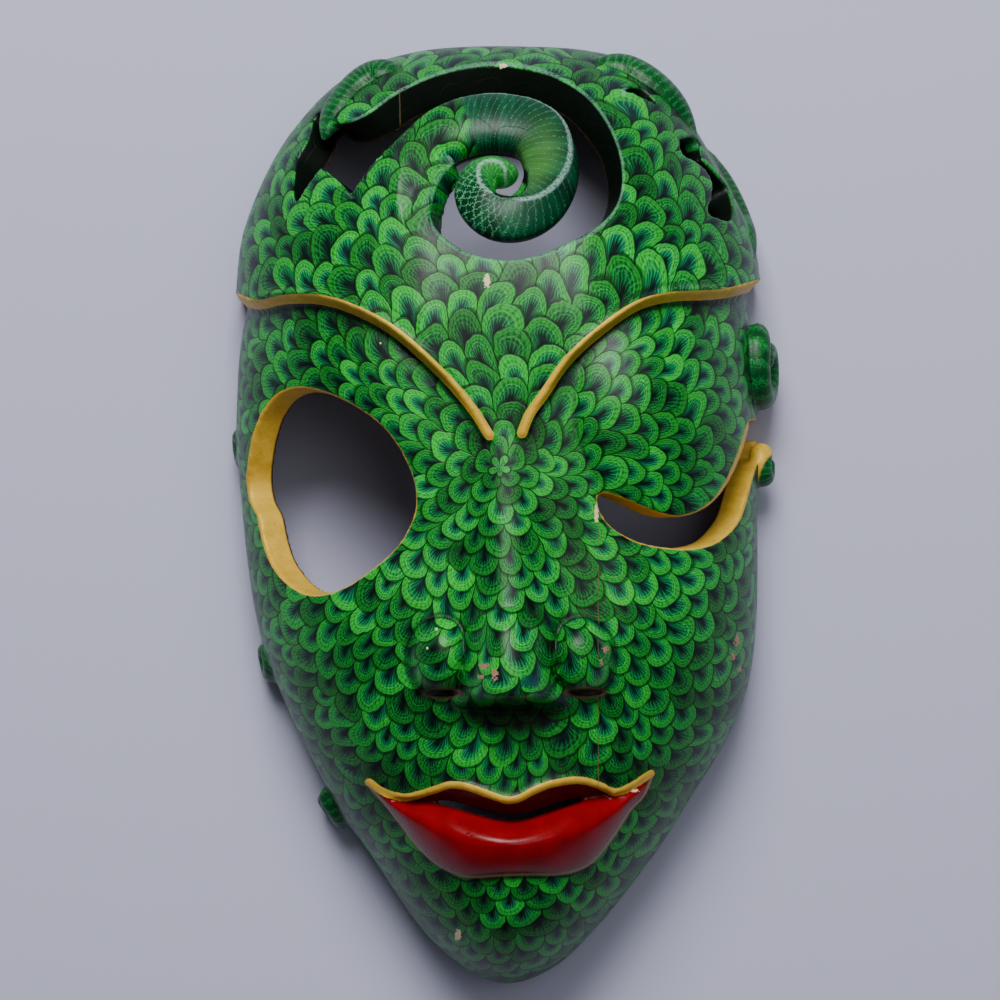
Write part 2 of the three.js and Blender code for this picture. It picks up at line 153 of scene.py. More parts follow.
def dome_normal(x, y, tilt):
    out_x, out_y = x / HALF_WIDTH ** 2, (y - DOME_TOP_Y) / HALF_LENGTH ** 2
    size = np.hypot(out_x, out_y) + 1e-12
    return np.stack([out_x / size * np.sin(tilt), out_y / size * np.sin(tilt), np.cos(tilt)],
                    axis=-1)


def set_out(points):
    """Where points of the mask fall on the plane that its lines are set out on."""
    scale = (SIGHT_HEIGHT - WIDEST_HEIGHT) / (SIGHT_HEIGHT - points[..., 2])
    return points[..., 0] * scale, points[..., 1] * scale


def on_dome(plan_x, plan_y):
    """The point of the plain dome under a place on that plane, and the dome's normal there."""
    plan_x, plan_y = np.asarray(plan_x, float), np.asarray(plan_y, float)
    z = np.full(plan_x.shape, DOME_DEPTH / 2)
    for _ in range(7):
        shrink = (SIGHT_HEIGHT - z) / (SIGHT_HEIGHT - WIDEST_HEIGHT)
        dx, dy, tilt = dome_place(plan_x * shrink, plan_y * shrink)
        point = dome_point(dx, dy, tilt)
        z = point[..., 2]
    return point, dome_normal(point[..., 0], point[..., 1], tilt)


def towards_sight(points):
    """Directions from points to the high point that the lines are sighted from."""
    line = np.array([0, 0, SIGHT_HEIGHT]) - points
    return line / np.linalg.norm(line, axis=-1, keepdims=True)


# --- Brow, nose, lids and lips --------------------------------------------------------------
# The features are carved in the same wood: a forehead that stands over the eyes like a hood
# and ends in a rolled bead, a long nose with round wings, a full lid over the crescent eye,
# and parted lips with a sunken seam.

LEFT_BROW = [(-82, 65.2), (-80.4, 65), (-73.5, 63), (-65.4, 64.6), (-54.9, 64.6), (-44.4, 61.5),
             (-32.4, 54.9), (-18.9, 42.9), (-9.9, 32.7), (-4.2, 24)]
RIGHT_BROW = [(79, 69.4), (75.6, 68.7), (65, 66.2), (50, 65.4), (39.3, 62.4), (28.2, 54.6),
              (18.9, 45.9), (12.6, 36.9), (8.1, 30.6), (5.6, 24.6)]
MOUTH_TOP = [(-40.4, -80.2), (-35.4, -83.4), (-29.4, -84.8), (-23.4, -83.4), (-15.9, -81),
             (-9.9, -81.8), (-3.9, -84), (0.6, -85.4), (4.5, -85.1), (9.6, -82.5), (15.6, -80.4),
             (23.1, -79.6), (29.1, -81.3), (33.6, -83.3), (38.7, -81.3), (44.4, -77.6)]
MOUTH_SEAM = [(-40.4, -80.6), (-36, -84), (-29.4, -85.9), (-21.9, -86.3), (-15.9, -87.2),
              (-8.4, -89.3), (-0.9, -91), (5.1, -91.2), (12.6, -89.2), (20.1, -86.6),
              (29.1, -84.6), (36.6, -83), (44.4, -78)]
MOUTH_FOOT = [(-40.4, -81), (-35.4, -86.7), (-30.9, -92.4), (-26.4, -98.4), (-20.4, -104.2),
              (-14.4, -107.4), (-9.9, -108.5), (-0.9, -108), (8.1, -107.7), (17.1, -107.6),
              (24.6, -105.4), (29.1, -101.4), (33.6, -95.4), (38.1, -88.4), (42, -84.3),
              (44.6, -78.4)]

BETWEEN_BROWS = 0.7
BROW_REACH = 20
HOOD_STEP = 3.3
BROW_HOLLOW = 2.4
BEAD_HALF_WIDTH = 1.5
BEAD_RISE = 1.5
LID_FULLNESS = 5.5
NOSE_ROOT, NOSE_LENGTH = 26, 72
NOSE_RISE = 13.6
NOSE_TIP_RISE = 6
WING_PLACES = (-18.8, 23.4)
WING_REACH, WING_RISE = 10, 10.5
CREASE_DEPTH = 2.4
NOSTRILS = ((-18.4, -0.16), (24.6, 0.2))
NOSTRIL_HALF_LENGTH, NOSTRIL_HALF_HEIGHT, NOSTRIL_DEPTH = 6.2, 0.9, 2.4
MOUTH_MIDDLE, MOUTH_HALF_WIDTH = 1.8, 43
LIP_RISE = 6.2
SEAM_DEPTH = 5.0
LIP_BEAD_RISE, LIP_BEAD_HALF_WIDTH = 0.9, 1.2


def nearest_on(x, y, line):
    """Distance from places to a line, and the side: plus is on its left."""
    best = np.full(x.shape, np.inf)
    side = np.zeros(x.shape)
    for (ax, ay), (bx, by) in zip(line[:-1], line[1:]):
        ex, ey = bx - ax, by - ay
        length = math.hypot(ex, ey)
        t = np.clip(((x - ax) * ex + (y - ay) * ey) / (length * length), 0, 1)
        gap = np.hypot(x - ax - t * ex, y - ay - t * ey)
        closer = gap < best - SMALLEST
        best = np.where(closer, gap, best)
        side = np.where(closer, np.sign(ex * (y - ay) - ey * (x - ax)), side)
    return best, side


def outside_of(x, y, outline):
    """Distance from places to a closed outline: minus inside it."""
    closed = np.vstack([outline, outline[:1]])
    gap, _ = nearest_on(x, y, closed)
    inside = np.zeros(x.shape, bool)
    for (ax, ay), (bx, by) in zip(closed[:-1], closed[1:]):
        crosses = (ay > y) != (by > y)
        with np.errstate(divide="ignore", invalid="ignore"):
            inside ^= crosses & (x < ax + (y - ay) * (bx - ax) / (by - ay))
    return np.where(inside, -gap, gap)


left_brow = smooth_line(LEFT_BROW, 6)
right_brow = smooth_line(RIGHT_BROW, 6)
mouth_top = smooth_line(MOUTH_TOP, 5)
mouth_seam = smooth_line(MOUTH_SEAM, 6)
mouth_foot = smooth_line(MOUTH_FOOT, 5)
mouth_outline = np.vstack([mouth_top, mouth_foot[::-1]])


def brow_gap(x, y):
    """Distance to the nearer brow line, plus above it. Far from both it is only rough."""
    left_height = np.interp(x, left_brow[:, 0], left_brow[:, 1])
    right_height = np.interp(x, right_brow[::-1, 0], right_brow[::-1, 1])
    gap = 0.85 * (y - np.where(x < BETWEEN_BROWS, left_height, right_height))
    close = np.abs(gap) < BROW_REACH
    left, left_side = nearest_on(x[close], y[close], left_brow)
    right, right_side = nearest_on(x[close], y[close], right_brow)
    gap[close] = np.where(left < right, left * left_side, -right * right_side)
    return gap


def brow_relief(x, y):
    """The hood over the eyes, the hollow under it and the bead on its edge."""
    gap = brow_gap(x, y)
    away = np.abs(x - BETWEEN_BROWS)
    standing = smoothstep(gap, -1.5, 0.7)
    edge = smoothstep(np.abs(x), 64, 80)
    hood = (HOOD_STEP * (1 - 0.35 * edge) * smoothstep(away, 3, 26) * standing
            * np.exp(-np.maximum(y - 60, 0) / 45))
    hollow = (BROW_HOLLOW * smoothstep(away, 6, 30) * (1 - standing)
              * np.exp(np.minimum(gap, 0) / 8))
    roundness = np.sqrt(np.clip(1 - (gap / BEAD_HALF_WIDTH) ** 2, 0, 1))
    bead = BEAD_RISE * (1 - 0.7 * edge) * roundness
    return hood - hollow + bead


def lobe_relief(x, y):
    """The full lid that hangs over the crescent eye."""
    inside = 1 - ((x - 53) / 31) ** 2 - ((y - 33.5) / 35) ** 2
    return LID_FULLNESS * np.clip(inside, 0, 1) ** 0.75


def nose_relief(x, y):
    """A ridge that widens to a rounded tip, with a ball at each wing and a nostril under it."""
    along = np.clip((NOSE_ROOT - y) / NOSE_LENGTH, 0, 1.15)
    middle = 0.6 + 1.5 * along
    height = 0.4 + NOSE_RISE * along ** 1.2
    half = 5.5 + 8 * along
    ridge = height * np.exp(-np.abs((x - middle) / half) ** 2.5) * (1 - smoothstep(y, 20, 34))
    ball = np.clip(1 - ((x - 1.4) / 15.8) ** 2 - ((y + 44) / 15.5) ** 2, 0, 1)
    tip = NOSE_TIP_RISE * ball ** 0.5
    base = (ridge + tip) * smoothstep(y, -59.5, -54)
    wings = 0
    for centre in WING_PLACES:
        ball = np.clip(1 - ((x - centre) / WING_REACH) ** 2 - ((y + 43) / 12) ** 2, 0, 1)
        wings = np.maximum(wings, WING_RISE * ball ** 0.55)
    wings = wings * smoothstep(y, -56.5, -52)
    low, high = np.minimum(base, wings), np.maximum(base, wings)
    crease = CREASE_DEPTH * np.exp(-((high - low) / 2.4) ** 2) * smoothstep(low, 1, 4)
    slot = 0
    for centre, slope in NOSTRILS:
        across = (x - centre) / NOSTRIL_HALF_LENGTH
        off = (y + 53.4 - slope * (x - centre)) / NOSTRIL_HALF_HEIGHT
        slot = slot + np.exp(-across ** 4 - off ** 2)
    return high - crease - NOSTRIL_DEPTH * slot


def mouth_relief(x, y):
    relief = np.zeros(x.shape)
    close = (np.abs(x) < 50) & (y > -118) & (y < -62)
    relief[close] = lip_relief(x[close], y[close])
    return relief


def lip_relief(x, y):
    """The full lower lip, the sunken seam, the upper lip and the bead along its edge."""
    top = np.interp(x, mouth_top[:, 0], mouth_top[:, 1])
    seam = np.interp(x, mouth_seam[:, 0], mouth_seam[:, 1])
    foot = np.interp(x, mouth_foot[:, 0], mouth_foot[:, 1])
    full = np.clip(1 - np.abs((x - MOUTH_MIDDLE) / MOUTH_HALF_WIDTH) ** 2.6, 0, 1)
    down = np.clip((seam - y) / np.maximum(seam - foot, 0.5), 0, 1)
    swell = np.clip(1 - (2 * down ** 0.85 - 1) ** 2, 0, 1) ** 0.75
    sunk = np.where(y > seam, smoothstep(y, top - 0.3, seam + 0.6),
                    1 - smoothstep(down, 0, 0.5))
    within = outside_of(x, y, mouth_outline) < 0.2
    lower = LIP_RISE * full * np.where(y < seam, swell, 0)
    lip = 1.6 * full + lower - SEAM_DEPTH * full ** 0.7 * sunk
    edge, _ = nearest_on(x, y, mouth_top)
    bead = LIP_BEAD_RISE * np.sqrt(np.clip(1 - (edge / LIP_BEAD_HALF_WIDTH) ** 2, 0, 1))
    lift = 2.0 * full * np.exp(-np.maximum(y - top, 0) / 6) * (y >= top)
    return bead + np.where(within, lip, lift)


def fine_relief(x, y):
    return nose_relief(x, y) + mouth_relief(x, y) + lobe_relief(x, y)


# --- Openings -------------------------------------------------------------------------------
# The eyes, the crown's ring and its slots are sawn through the wall square to the surface.
# The crescent eye runs out into a notch in the edge.

def joined(*runs):
    """A closed outline from smooth runs that meet at corners."""
    return np.vstack([smooth_line(run, 5)[:-1] for run in runs])


OPEN_EYE = even_line([(-61.5, 38.1), (-53.4, 36.6), (-45.4, 33), (-37.4, 27.4), (-31.6, 20.4),
                      (-27.6, 12), (-26.3, 4), (-28, -3), (-32.4, -9.8), (-38.8, -15.6),
                      (-46.2, -20.8), (-53, -23.6), (-59.4, -23.6), (-65, -20.2),
                      (-69.4, -14.6), (-72, -7.6), (-73.4, -0.6), (-75.8, 4.4), (-76.6, 10.4),
                      (-76, 17), (-74.6, 24), (-72, 30.6), (-67.5, 36)], 120, closed=True)
CRESCENT_EYE = joined(
    [(28.2, 5.6), (29.4, 0.6), (33.6, -4.2), (41, -8.1), (50.1, -9.9), (57.6, -9.9), (64.5, -7.8),
     (70.5, -1.8), (73.4, 6.6), (75.4, 13.8), (78.2, 18.6), (84, 22)],
    [(84, 22), (84, 28.4)],
    [(84, 28.4), (74.6, 28.2), (72.9, 24.6), (70.5, 17.7), (67.5, 10.8), (63.6, 4.8), (59, 1.2),
     (53.1, -0.6), (47, 0.3), (41, 2.7), (34.6, 5.4), (30.6, 6.6), (28.2, 5.6)])
CROWN_RING = joined(
    [(-54.3, 120.3), (-51.9, 117.6), (-48.3, 117), (-44.4, 117.9), (-39.3, 120.6), (-30.9, 126.6),
     (-18.9, 132), (-6.9, 134.7), (5.1, 134.4), (17.1, 130.5), (26.7, 123.3), (33.3, 112.2),
     (35.4, 100.2), (32.4, 90.6), (24, 83.4), (11.1, 78.3), (-0.9, 76.8), (-12.3, 79.5),
     (-19.8, 85.2), (-21.3, 90.6), (-20.4, 96.6), (-18, 102), (-14.4, 105.6)],
    [(-14.4, 105.6), (-24.9, 118.8)],
    [(-24.9, 118.8), (-29.4, 114.3), (-34.5, 109.2), (-39, 104.4), (-42.3, 99.6), (-45, 95.4)],
    [(-45, 95.4), (-48.9, 99.8), (-54, 103.8)],
    [(-54, 103.8), (-57.3, 99), (-60.9, 92.7)],
    [(-60.9, 92.7), (-62.1, 95.7), (-61.8, 101.7), (-60.9, 106.2), (-59.1, 109.8), (-57.3, 113.7),
     (-56.7, 117.6), (-54.3, 120.3)])
SIDE_SLOT = joined(
    [(52.5, 112.2), (56.1, 112.8), (58.2, 110.4), (59.1, 106.2), (62.7, 102), (66.3, 97.2),
     (67.8, 91.2), (66.9, 87.6), (63.6, 88.2), (60.3, 90), (61.5, 94.2), (61.8, 98.7),
     (60, 102.6), (56.7, 105.6), (53.1, 107.7), (52.5, 112.2)])
SIDE_EYELET = joined([(35.7, 126.6), (38.7, 126), (42.6, 124.2), (46.2, 122.4), (44.1, 125.1),
                      (41.1, 127.5), (38.1, 127.8), (35.7, 126.6)])
MOUTH_SLIT = joined(
    [(-25, -85.6), (-15.9, -86.2), (-8.4, -88.2), (-0.9, -89.9), (5.1, -90.1), (12.6, -88.1),
     (20.1, -85.7), (29, -84.4)],
    [(29, -84.4), (20.1, -87.6), (12.6, -90.1), (5.1, -92.3), (-0.9, -92.1), (-8.4, -90.3),
     (-15.9, -88), (-25, -85.6)])


# --- Volute, leaves and scrolls -------------------------------------------------------------
# Rolled horns are left standing out of the same billet: the volute that curls in the crown's
# ring, rolled leaves along the crown, and small scrolls down the two edges.

VOLUTE_PATH = [(-26.5, 72), (-30, 81), (-31.8, 89.5), (-30.8, 97), (-27.6, 103.4), (-23, 108.8),
               (-16.8, 113.1), (-6.6, 116.1), (3.9, 115.8), (11.1, 112.4), (14.4, 105.4),
               (13.8, 98.6), (10.5, 92.9), (4.8, 89.4), (-1.6, 89.2), (-6.6, 92.3), (-8.6, 97),
               (-7.2, 101.6), (-3.2, 103.2), (0, 101.8), (0.8, 99.4)]
VOLUTE_WIDTH = [17, 20, 22, 21.5, 19, 17, 16.4, 16.8, 17, 16.6, 15.4, 14.8, 13.8, 12, 11, 9]
VOLUTE_HEIGHT = [12, 14, 15, 16, 17, 17.4, 17.4, 17, 16.6, 16, 15, 14, 13, 12, 11.4, 10]
VOLUTE_DROP = [7, 6.8, 6.4, 6.2, 6.4, 6.6, 6.6, 6.4, 6.2, 5.8, 5.4, 4.8, 3.8, 2.6, 1.2, 0.4]
CREST_SHARPNESS = 0.65
VOLUTE_CREST = [0.2, 0.3, 0.35, 0.3, 0, -0.5, -0.85, -0.85, -0.75, -0.5, -0.3, 0, 0.5, 0.5, 0.3,
                0]


def series(values):
    """Values at even steps, read smoothly in between."""
    table = smooth_line([(i, v) for i, v in enumerate(values)], 16)
    return lambda t: np.interp(np.asarray(t) * (len(values) - 1), table[:, 0], table[:, 1])


def unit(vectors):
    return vectors / (np.linalg.norm(vectors, axis=-1, keepdims=True) + 1e-12)


def read_corners(piece):
    """A piece's corners in metres."""
    flat = np.empty(len(piece.data.vertices) * 3)
    piece.data.vertices.foreach_get("co", flat)
    return flat.reshape(-1, 3)


def read_points(piece):
    """A piece's corners in millimetres."""
    return read_corners(piece) / MM


def new_ball(name, around, rings):
    bpy.ops.object.select_all(action="DESELECT")
    bpy.ops.mesh.primitive_uv_sphere_add(segments=around, ring_count=rings, radius=1)
    ball = bpy.context.object
    ball.name = ball.data.name = name
    return ball


def place_points(piece, points):
    piece.data.vertices.foreach_set("co", (points * MM).ravel())
    piece.data.update()


def new_horn(name, spine, lift, width, height, crest=None, around=40, rings=120, blunt=0.05):
    """A ball drawn out along a spine. crest moves its ridge to one side, from -1 to 1."""
    ball = new_ball(name, around, rings)
    unit_points = read_corners(ball)
    t = np.arccos(np.clip(unit_points[:, 2], -1, 1)) / math.pi
    turn = np.arctan2(unit_points[:, 1], unit_points[:, 0])
    run = np.linspace(0, 1, len(spine))
    at = lambda where: np.stack([np.interp(where, run, spine[:, k]) for k in range(3)], axis=1)
    ahead = unit(at(np.clip(t + 0.01, 0, 1)) - at(np.clip(t - 0.01, 0, 1)))
    up = np.stack([np.interp(t, run, lift[:, k]) for k in range(3)], axis=1)
    up = unit(up - ahead * np.sum(up * ahead, axis=1, keepdims=True))
    side = np.cross(ahead, up)
    end = np.minimum(1, np.minimum(t, 1 - t) / blunt)
    swell = np.sqrt(np.clip(1 - (1 - end) ** 2, 0, 1))
    a, b = np.cos(turn), np.sin(turn)
    if crest is not None:
        c = crest(t)
        roof = np.where(a > c, (1 - a) / (1 - c), (1 + a) / (1 + c))
        b = np.where(b > 0, (1 - CREST_SHARPNESS) * b + CREST_SHARPNESS * roof ** 0.8, b)
    points = (at(t) + side * (swell * a * width(t) / 2)[:, None]
              + up * (swell * b * height(t) / 2)[:, None])
    place_points(ball, points)
    return ball


def laid_spine(plan, drop):
    """A line of the setting-out plane carried to the dome and sunk into the wood."""
    points, normals = on_dome(plan[:, 0], plan[:, 1])
    return points - towards_sight(points) * np.asarray(drop)[:, None], normals


VOLUTE_STEPS = 160
run = np.linspace(0, 1, VOLUTE_STEPS)
volute_plan = even_line(VOLUTE_PATH, VOLUTE_STEPS)
volute_spine, volute_lift = laid_spine(volute_plan, series(VOLUTE_DROP)(run))
volute = new_horn("volute", volute_spine, volute_lift, series(VOLUTE_WIDTH),
                  series(VOLUTE_HEIGHT), series(VOLUTE_CREST), around=56, rings=260, blunt=0.02)

LEAVES = {
    "right_leaf": ([(26, 135.6), (38, 133.2), (48.5, 125.6), (55, 117), (57.5, 112)],
                   [8, 12, 13, 11, 7], 0.8),
    "right_stem": ([(59.5, 110), (66.5, 99.5), (71.5, 88), (74.6, 74)], [6, 10, 10, 7], 1.0),
    "left_bud": ([(-54, 112), (-50.5, 120.5), (-45, 127.5), (-38, 131.8), (-30, 132.6)],
                 [6, 10, 12, 13, 9], 1.6),
}
SCROLLS = {
    "ear_scroll": ((76.6, 43.5, 18), 12.5, 1.9, 1.25, 8.2, (1, 0, 0.25)),
    "ear_curl": ((77.4, 14, 13), 5.2, 1.6, 0.95, 6.6, (1, 0, 0.25)),
    "left_scroll": ((-77.4, 21, 11), 7.5, 1.0, -1.05, 6, (-1, -0.1, 0.2)),
    "cheek_scroll": ((-69.6, -43, 9), 7, 1.0, -1.05, 6.4, (-1, -0.2, 0.2)),
    "jaw_scroll": ((-51, -87, 9), 7, 1.0, -1.05, 6.4, (-1, -0.7, 0.2)),
}

LEAF_STEPS = 40
SCROLL_STEPS = 60

horns = [volute]
horn_spines = []
for name, (plan, widths, drop) in LEAVES.items():
    plan = even_line(plan, LEAF_STEPS)
    spine, lift = laid_spine(plan, np.full(LEAF_STEPS, drop))
    widths = series(widths)
    horns.append(new_horn(name, spine, lift, widths, lambda t, w=widths: 0.7 * w(t),
                          around=32, rings=60, blunt=0.28))
    horn_spines.append((spine, widths))
for name, (centre, reach, start, turns, thick, facing) in SCROLLS.items():
    t = np.linspace(0, 1, SCROLL_STEPS)[:, None]
    outward = unit(np.array(facing, float))
    vertical = unit(np.array([0, 1, 0]) - outward * outward[1])
    level = np.cross(vertical, outward)
    angle = start + 2 * math.pi * turns * t
    curl = reach * (1 - 0.8 * t)
    spine = (np.array(centre) + vertical * curl * np.sin(angle) + level * curl * np.cos(angle)
             + outward * 0.8 * t)
    across = lambda s, w=thick: w * (1 - 0.3 * s)
    tall = lambda s, w=thick: w * (1.1 - 0.2 * s)
    horns.append(new_horn(name, spine, np.tile(outward, (SCROLL_STEPS, 1)), across, tall,
                          around=24, rings=70, blunt=0.1))
    horn_spines.append((spine, tall))

# --- Carving --------------------------------------------------------------------------------
# The blank is shaped outside and in, sawn through, joined with its horns, and then sanded:
# the skin is drawn over the joined solids as one closed surface and its edges are softened.

SPOKES = 160
OUTER_RINGS = 73
INNER_RINGS = 15
GOUGE_DEPTH = 0.35
NOSE_HOLLOW = 6
SKIN_STEP = 0.00062
SANDING_ROUNDS = 5
TRIANGLE_LIMIT = 190000


def spoke_direction(turn):
    across, along = HALF_WIDTH * np.cos(turn), HALF_LENGTH * np.sin(turn)
    size = np.hypot(across, along)
    return across / size, along / size


blank = new_ball("carved_skin", SPOKES, OUTER_RINGS + INNER_RINGS)
finer = blank.modifiers.new("finer", "SUBSURF")
finer.subdivision_type = "SIMPLE"
finer.levels = finer.render_levels = 2
bpy.ops.object.modifier_apply(modifier=finer.name)
ball_points = unit(read_points(blank) * MM)
station = (np.arccos(np.clip(ball_points[:, 2], -1, 1)) / math.pi
           * (OUTER_RINGS + INNER_RINGS))
outer = station < OUTER_RINGS + 0.1
dx, dy = spoke_direction(np.arctan2(ball_points[:, 1], ball_points[:, 0]))
tilt = RIM_TILT * np.where(outer, np.minimum(station / OUTER_RINGS, 1),
                           (OUTER_RINGS + INNER_RINGS - station) / INNER_RINGS)
face = dome_point(dx, dy, tilt)
plan_x, plan_y = set_out(face)
normal = dome_normal(face[:, 0], face[:, 1], tilt)
sight = towards_sight(face)
fade = (1 - smoothstep(tilt, 1.3, 1.55))[:, None]
plan_x, plan_y = plan_x[outer], plan_y[outer]
face[outer] += (normal[outer] * brow_relief(plan_x, plan_y)[:, None]
                + sight[outer] * fade[outer] * fine_relief(plan_x, plan_y)[:, None])
face[:, 2] = np.maximum(face[:, 2], 0)
wall = wall_at(DOME_TOP_Y + 100 * dy * np.sin(tilt))
hollow = dome_point(dx, dy, tilt, wall)
ripple = GOUGE_DEPTH * np.sin(hollow[:, 0] / 2.9 + np.sin(hollow[:, 1] / 9))
gouged = ripple * np.sin(hollow[:, 1] / 3.7)
hollow[:, 2] += gouged * (1 - smoothstep(tilt, 1.2, 1.6))
hollow[:, 2] += NOSE_HOLLOW * mound(hollow[:, 0], hollow[:, 1], 1.5, -34, 10, 22)
place_points(blank, np.where(outer[:, None], face, hollow))


def surface_tree(piece, keep):
    """A search tree of a piece's faces whose corners are all kept."""
    corners = [tuple(v.co) for v in piece.data.vertices]
    faces = [tuple(p.vertices) for p in piece.data.polygons if all(keep[i] for i in p.vertices)]
    return BVHTree.FromPolygons(corners, faces)


outer_tree = surface_tree(blank, outer)
inner_tree = surface_tree(blank, ~outer)


def new_cutter(name, outline, out=26.0, inward=2.2, along=None):
    """A plug that goes through the wall behind an outline, square to the surface."""
    count = len(outline)
    bpy.ops.object.select_all(action="DESELECT")
    bpy.ops.mesh.primitive_cylinder_add(vertices=count, radius=1, depth=2)
    plug = bpy.context.object
    plug.name = name
    start = read_corners(plug)
    place = np.round(np.arctan2(start[:, 1], start[:, 0]) / (2 * math.pi) * count).astype(int)
    corner = outline[place % count]
    points, normals = on_dome(corner[:, 0], corner[:, 1])
    direction = normals if along is None else np.tile(np.array(along, float), (len(corner), 1))
    reach = np.where(start[:, 2] > 0, out, -inward * wall_at(corner[:, 1]))
    place_points(plug, points + direction * reach[:, None])
    bpy.ops.object.mode_set(mode="EDIT")
    bpy.ops.mesh.select_all(action="SELECT")
    bpy.ops.mesh.quads_convert_to_tris(ngon_method="CLIP")
    bpy.ops.mesh.normals_make_consistent(inside=False)
    bpy.ops.object.mode_set(mode="OBJECT")
    return plug


def counter_clockwise(outline):
    x, y = outline[:, 0], outline[:, 1]
    area = np.sum(x * np.roll(y, -1) - np.roll(x, -1) * y)
    return outline if area > 0 else outline[::-1]


cutters = [new_cutter(name, counter_clockwise(outline), **how) for name, outline, how in (
    ("open_eye", OPEN_EYE, {}),
    ("crescent_eye", CRESCENT_EYE, {"out": 30.0}),
    ("crown_ring", CROWN_RING, {}),
    ("side_slot", SIDE_SLOT, {}),
    ("side_eyelet", SIDE_EYELET, {}),
    ("mouth_slit", MOUTH_SLIT, {"along": (0, 0, 1), "inward": 3.2}),
)]
bpy.ops.object.select_all(action="DESELECT")
bpy.ops.mesh.primitive_cube_add(size=1, location=(0.0815, 0.0255, 0.03), rotation=(0, 0, 0.1))
notch = bpy.context.object
notch.scale = (0.02, 0.0054, 0.07)
bpy.ops.object.transform_apply()
cutters.append(notch)

for cutter in cutters:
    bpy.ops.object.select_all(action="DESELECT")
    bpy.context.view_layer.objects.active = blank
    blank.select_set(True)
    saw = blank.modifiers.new("saw", "BOOLEAN")
    saw.operation = "DIFFERENCE"
    saw.solver = "EXACT"
    saw.object = cutter
    bpy.ops.object.modifier_apply(modifier=saw.name)
    bpy.data.objects.remove(cutter, do_unlink=True)

bpy.ops.object.select_all(action="DESELECT")
for piece in horns + [blank]:
    piece.select_set(True)
bpy.context.view_layer.objects.active = blank
bpy.ops.object.join()
mask = bpy.context.object
mask.name = mask.data.name = "painted_mask"

skin = mask.modifiers.new("skin", "REMESH")
skin.mode = "VOXEL"
skin.voxel_size = SKIN_STEP
bpy.ops.object.modifier_apply(modifier=skin.name)
sanding = mask.modifiers.new("sanding", "SMOOTH")
sanding.factor = 0.5
sanding.iterations = SANDING_ROUNDS
bpy.ops.object.modifier_apply(modifier=sanding.name)

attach(mask, "root")
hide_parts("carved_mask")

thin = mask.modifiers.new("thin", "DECIMATE")
thin.ratio = TRIANGLE_LIMIT / (2 * len(mask.data.polygons))
bpy.ops.object.modifier_apply(modifier=thin.name)
bpy.ops.object.shade_smooth()

# --- Paint map ------------------------------------------------------------------------------
# The painter's layout: how far each place is from the brow lines, the sawn edges, the lips and
# the point between the eyes that the scales spread from, in millimetres.

SCALE_CENTRE = (-1.0, 13.0)
SCALE_STEP = 6.7
CROWN_CUTS = (CROWN_RING, SIDE_SLOT, SIDE_EYELET)
BATCH = 20000
EASING_ROUNDS = 10
VOLUTE_NEAR, HORN_NEAR = 1.22, 1.15


def write_field(piece, name, *columns):
    """Keeps up to three numbers for each corner, for the paint to read."""
    field = piece.data.attributes.new(name, "FLOAT_VECTOR", "POINT")
    columns = list(columns) + [np.zeros(len(columns[0]))] * (3 - len(columns))
    field.data.foreach_set("vector", np.stack(columns, axis=1).astype(np.float32).ravel())


def tree_distance(tree, points):
    return np.array([tree.find_nearest(Vector(p))[3] for p in points * MM]) / MM


def near_spine(points, spine, lift, width):
    """Run along a horn from 0 to 1, place across it from -1 to 1, and closeness in radii."""
    spots = np.linspace(0, 1, len(spine))
    nearest = np.empty(len(points), int)
    gap = np.empty(len(points))
    for start in range(0, len(points), BATCH):
        part = slice(start, start + BATCH)
        reach = np.linalg.norm(points[part, None] - spine[None], axis=2)
        nearest[part] = reach.argmin(axis=1)
        gap[part] = reach.min(axis=1)
    ahead = unit(np.gradient(spine, axis=0))
    side = unit(np.cross(ahead, lift))
    offset = points - spine[nearest]
    along = np.sum(offset * ahead[nearest], axis=1) / np.linalg.norm(spine[1] - spine[0])
    t = np.clip((nearest + np.clip(along, -1, 1)) / (len(spine) - 1), 0, 1)
    radius = width(spots)[nearest] / 2
    return t, np.sum(offset * side[nearest], axis=1) / radius, gap / radius


points = read_points(mask)
place_x, place_y = set_out(points)
depth = tree_distance(outer_tree, points)
inward = tree_distance(inner_tree, points)

span = points - np.array([SCALE_CENTRE[0], SCALE_CENTRE[1], DOME_DEPTH])
chord = np.linalg.norm(span[:, :2], axis=1) ** 2 + (np.maximum(68 - points[:, 2], 0)) ** 2
chord = np.sqrt(chord)
stops = np.linspace(0, 200, 401)
step = SCALE_STEP * (1 - 0.4 * np.exp(-stops / 15)) * (1 - 0.16 * smoothstep(stops, 70, 130))
rows = np.interp(chord, stops, np.concatenate([[0], np.cumsum(0.5 / step)[:-1]]))
bearing = np.arctan2(span[:, 1], span[:, 0])
rows = rows / (0.8 + 0.17 * smoothstep(np.sin(bearing), 0.3, 0.98))
write_field(mask, "scale_rows", rows * np.cos(bearing), rows * np.sin(bearing), chord)

brow = brow_gap(place_x, place_y)
eye = np.minimum(outside_of(place_x, place_y, OPEN_EYE),
                 outside_of(place_x, place_y, CRESCENT_EYE))
crown = np.min([outside_of(place_x, place_y, cut) for cut in CROWN_CUTS], axis=0)
write_field(mask, "edges", np.abs(brow), eye, crown)

lips = outside_of(place_x, place_y, mouth_outline)
lip_line, _ = nearest_on(place_x, place_y, mouth_top)
seam_height = np.interp(place_x, mouth_seam[:, 0], mouth_seam[:, 1])
write_field(mask, "mouth", lips, lip_line, place_y - seam_height)

write_field(mask, "wood", depth, inward)
write_field(mask, "plan", place_x, place_y, brow)

